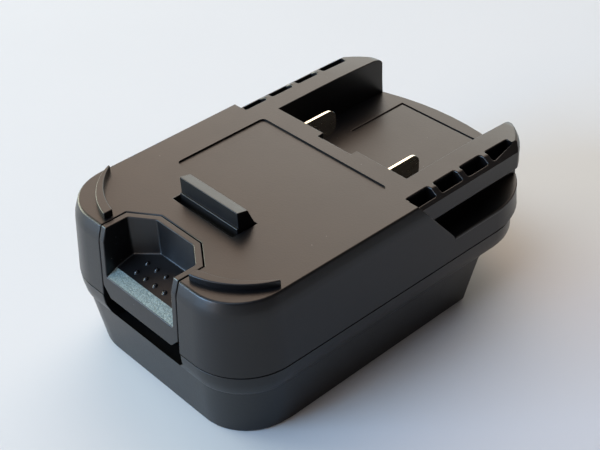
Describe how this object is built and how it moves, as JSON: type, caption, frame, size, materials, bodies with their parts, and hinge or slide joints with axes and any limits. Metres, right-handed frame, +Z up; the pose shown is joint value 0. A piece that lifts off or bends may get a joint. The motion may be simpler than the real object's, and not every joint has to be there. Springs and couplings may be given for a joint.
{
  "type": "tool battery adapter",
  "caption": "Slide-on battery adapter for a cordless tool: flanged rails, open contact recess and sprung latch above, a battery socket below.",
  "frame": {"origin": "middle of the base, under the middle of the housing's outline", "axes": "+Y is the way the adapter slides into the tool, +Z is up to the tool, X is across"},
  "size_m": [0.08, 0.1204, 0.0514],
  "materials": {
    "shell": "fine moulded texture",
    "latch": "satin moulded",
    "insulator": "satin moulded",
    "plated": "nickel plated",
    "brass": "stamped",
    "steel": "zinc plated",
    "board": "lacquered laminate",
    "chip": "moulded package",
    "red_lead": "soft insulation",
    "black_lead": "soft insulation"
  },
  "bodies": {
    "housing": {"top_shell": "shell", "bottom_shell": "shell", "latch_spring_left": "steel", "latch_spring_right": "steel", "contact_carrier": "insulator", "contact_blade_positive": "plated", "contact_blade_negative": "plated", "carrier_screws": "steel", "socket_block": "insulator", "socket_blade_positive": "brass", "socket_blade_negative": "brass", "socket_blade_signal": "brass", "circuit_board": "board", "power_transistors": "chip", "control_chip": "chip", "board_screws": "steel", "lead_positive": "red_lead", "lead_negative": "black_lead", "lead_crimps": "plated", "housing_screws": "steel"},
    "latch": {"release_button": "latch", "latch_hook": "latch", "latch_screws": "steel"}
  },
  "joints": [
    {"name": "latch_slide", "type": "slide", "parent": "housing", "child": "latch", "axis": [0, 0, -1], "range_m": [0, 0.006], "stiffness_N_per_m": 600, "springref_m": -0.004, "deforming": ["latch_spring_left", "latch_spring_right"]}
  ]
}
